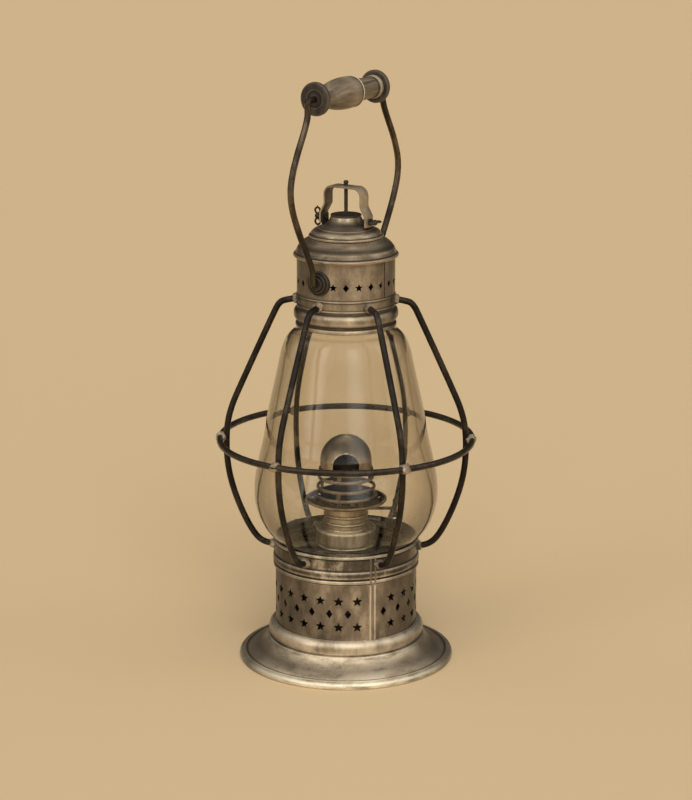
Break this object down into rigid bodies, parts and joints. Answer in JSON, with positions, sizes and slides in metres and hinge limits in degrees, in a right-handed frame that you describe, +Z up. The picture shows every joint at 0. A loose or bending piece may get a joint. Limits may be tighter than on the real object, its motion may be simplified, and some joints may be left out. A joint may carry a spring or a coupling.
{
  "type": "kerosene lantern",
  "caption": "Tin hand lantern with a fixed glass globe in a wire guard, pierced base and crown, flat-wick burner and a wire bail with a turned grip.",
  "frame": {"origin": "centre of the flat ring that the lantern stands on", "axes": "+Z up along the globe's axis; the bail's pins lie along X and the strap over the cap lies along Y"},
  "size_m": [0.1964, 0.1964, 0.4484],
  "materials": {
    "tinplate": "aged tinplate, dull, with brown-grey patina",
    "iron_wire": "dark oxidised iron wire",
    "dark_iron": "dark iron, worn at the edges",
    "solder": "dull grey solder",
    "glass": "clear blown glass with a faint grey-brown tint",
    "packing": "woven packing cord",
    "turned_wood": "turned hardwood, hand-worn",
    "dark_wood": "dark stained turned wood",
    "wick_cotton": "woven flat cotton wick, charred at the top",
    "sooty_tin": "sooty tinplate",
    "burner_brass": "tarnished grey-brown burner metal",
    "steel_rod": "drawn steel"
  },
  "bodies": {
    "lantern": {"base_flange": "tinplate", "foot_collar": "tinplate", "base_drum": "tinplate", "base_seam": "tinplate", "gallery_ring": "tinplate", "globe_seat": "tinplate", "glass_globe": "glass", "guard_wire_1": "iron_wire", "guard_wire_2": "iron_wire", "guard_wire_3": "iron_wire", "guard_wire_4": "iron_wire", "guard_wire_5": "iron_wire", "guard_wire_6": "iron_wire", "guard_ring": "iron_wire", "solder_ring": "solder", "solder_top": "solder", "solder_foot": "solder", "crown_body": "tinplate", "crown_seam": "tinplate", "globe_packing": "packing", "smoke_tube": "sooty_tin", "cap_dome": "tinplate", "cap_cowl": "tinplate", "vent_strap": "tinplate", "strap_lugs": "tinplate", "bail_ear_left": "dark_iron", "bail_ear_right": "dark_iron"},
    "smoke_lid": {"vent_lid": "tinplate", "vent_rod": "steel_rod"},
    "screw_left": {"strap_screw_left": "dark_iron"},
    "screw_right": {"strap_screw_right": "dark_iron"},
    "bail": {"bail": "iron_wire"},
    "grip": {"grip": "turned_wood", "grip_disc_left": "dark_wood", "grip_disc_right": "dark_wood"},
    "font": {"font_body": "tinplate", "font_top": "tinplate", "font_collar": "burner_brass", "font_catches": "steel_rod", "burner_cup": "burner_brass", "burner_neck": "burner_brass", "burner_dish": "burner_brass", "burner_basket": "burner_brass", "burner_dome": "burner_brass", "wick_tube": "sooty_tin"},
    "wick": {"wick": "wick_cotton"},
    "wick_raiser": {"wick_shaft": "steel_rod", "wick_spurs": "steel_rod", "thumbwheel": "burner_brass"}
  },
  "joints": [
    {"name": "bail_swing", "type": "hinge", "parent": "lantern", "child": "bail", "pos_m": [0, 0, 0.2994], "axis": [1, 0, 0], "range_deg": [-130, 130]},
    {"name": "grip_spin", "type": "hinge", "parent": "bail", "child": "grip", "pos_m": [0, 0, 0.436], "axis": [1, 0, 0], "continuous": true},
    {"name": "vent_lift", "type": "slide", "parent": "lantern", "child": "smoke_lid", "axis": [0, 0, 1], "range_m": [0, 0.019]},
    {"name": "screw_left_turn", "type": "hinge", "parent": "lantern", "child": "screw_left", "pos_m": [0, 0.02, 0.3417], "axis": [0, 1, 0], "continuous": true},
    {"name": "screw_right_turn", "type": "hinge", "parent": "lantern", "child": "screw_right", "pos_m": [0, -0.02, 0.3417], "axis": [0, -1, 0], "continuous": true},
    {"name": "font_drop", "type": "slide", "parent": "lantern", "child": "font", "axis": [0, 0, -1], "range_m": [0, 0.18]},
    {"name": "wick_turn", "type": "hinge", "parent": "font", "child": "wick_raiser", "pos_m": [-0.00541, -0.00351, 0.1193], "axis": [0.5446, -0.8387, 0], "range_deg": [-65, 65]},
    {"name": "wick_slide", "type": "slide", "parent": "font", "child": "wick", "axis": [0, 0, 1], "range_m": [-0.006, 0.006]}
  ],
  "couplings": [
    {"joint": "wick_slide", "follows": "wick_turn", "m_per_rad": 0.005}
  ]
}
